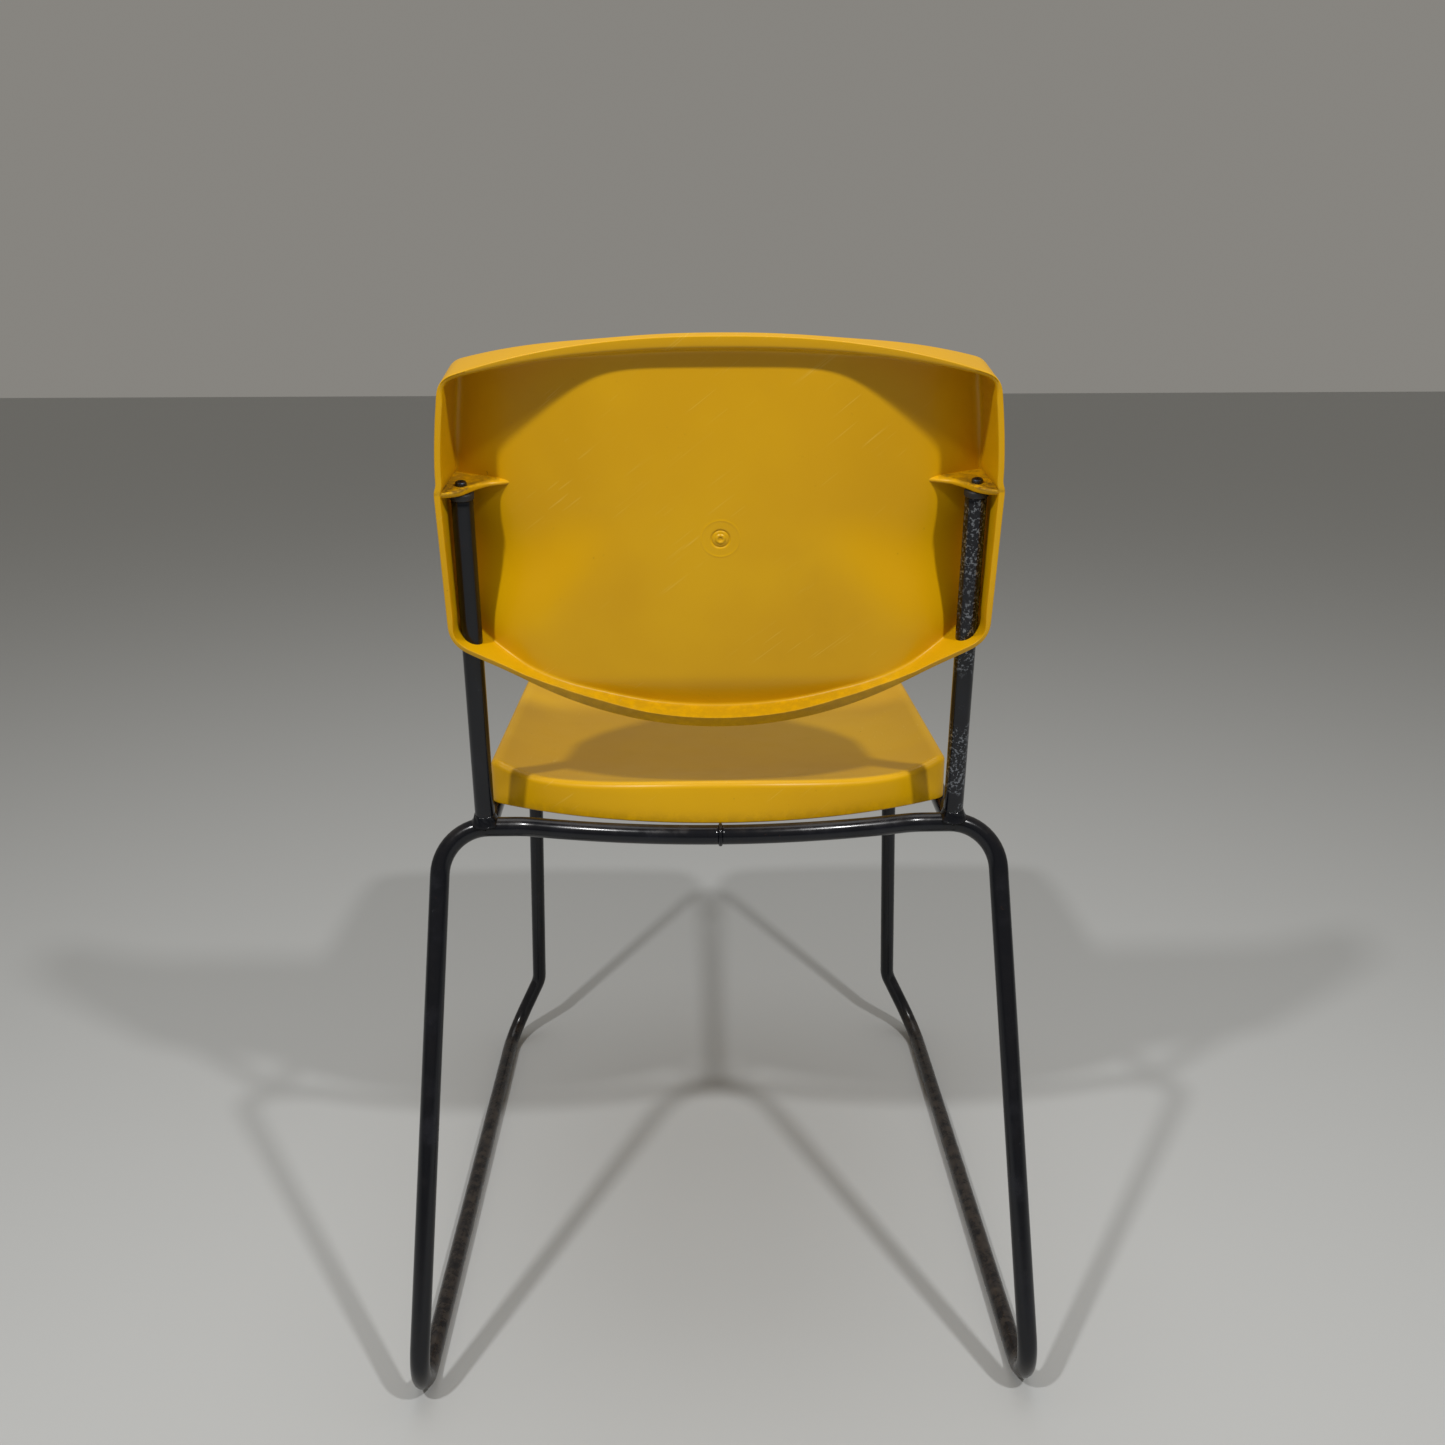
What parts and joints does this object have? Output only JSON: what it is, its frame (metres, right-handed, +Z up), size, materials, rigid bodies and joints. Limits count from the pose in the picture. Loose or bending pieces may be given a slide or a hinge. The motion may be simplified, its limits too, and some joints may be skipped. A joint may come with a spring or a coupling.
{
  "type": "stacking chair",
  "caption": "Stacking chair with a moulded plastic seat and tray-shaped back on a black bent-rod sled frame with round tube uprights.",
  "frame": {"origin": "on the floor, below the middle of the chair's width and depth", "axes": "+Z up; -Y is the way the sitter faces, so the back is at +Y; +X is towards the sitter's left-hand side"},
  "size_m": [0.486, 0.5902, 0.8017],
  "materials": {
    "shell_yellow": "moulded yellow polypropylene, satin to glossy, lightly scuffed",
    "frame_black": "gloss black paint on steel rod and tube, dusty and chipped",
    "weld": "weld beads under the same black paint",
    "bush_nylon": "moulded black nylon",
    "screw_steel": "dark steel pan-head screws",
    "washer_zinc": "dull zinc plate"
  },
  "bodies": {
    "root": {"left_side_rod": "frame_black", "right_side_rod": "frame_black", "rear_butt_weld": "weld", "front_brace": "frame_black", "brace_welds": "weld", "left_upright": "frame_black", "right_upright": "frame_black", "rail_end_welds": "weld", "left_upright_weld": "weld", "right_upright_weld": "weld", "left_upright_bush": "bush_nylon", "right_upright_bush": "bush_nylon", "back_shell": "shell_yellow", "back_screws": "screw_steel", "seat_shell": "shell_yellow", "rear_seat_lugs": "frame_black", "front_seat_lugs": "frame_black", "seat_screws": "screw_steel", "seat_washers": "washer_zinc"}
  },
  "joints": []
}
